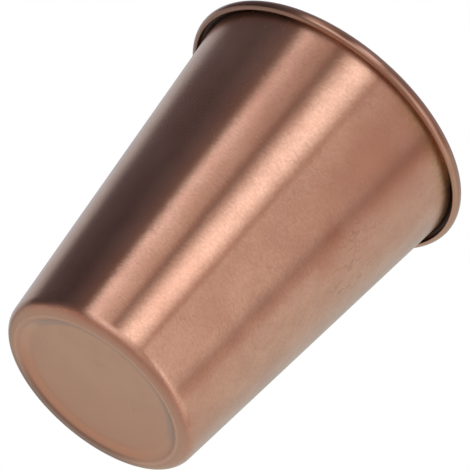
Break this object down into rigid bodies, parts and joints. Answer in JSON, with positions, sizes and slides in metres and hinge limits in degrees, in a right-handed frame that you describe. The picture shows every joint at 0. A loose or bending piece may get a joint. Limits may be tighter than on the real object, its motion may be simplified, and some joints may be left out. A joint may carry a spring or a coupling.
{
  "type": "steel tumbler",
  "caption": "Tapered double-walled steel tumbler with an open rolled rim, a rounded foot and a recessed base, in a satin copper-coloured finish.",
  "frame": {"origin": "middle of the flat standing face, on the cup's axis", "axes": "+Z along the cup's axis, from the foot to the mouth; X and Y are equal, because the cup is round"},
  "size_m": [0.088, 0.088, 0.109],
  "materials": {
    "brushed_copper_wall": "satin, brushed round the cup, copper-coloured coat on stainless steel",
    "satin_copper_liner": "smooth satin on the rolled rim, copper-coloured coat on stainless steel",
    "matt_copper_base": "matt, unbrushed, copper-coloured coat on stainless steel"
  },
  "bodies": {
    "root": {"outer_shell": "brushed_copper_wall", "inner_liner": "satin_copper_liner", "base_cap": "matt_copper_base"}
  },
  "joints": []
}
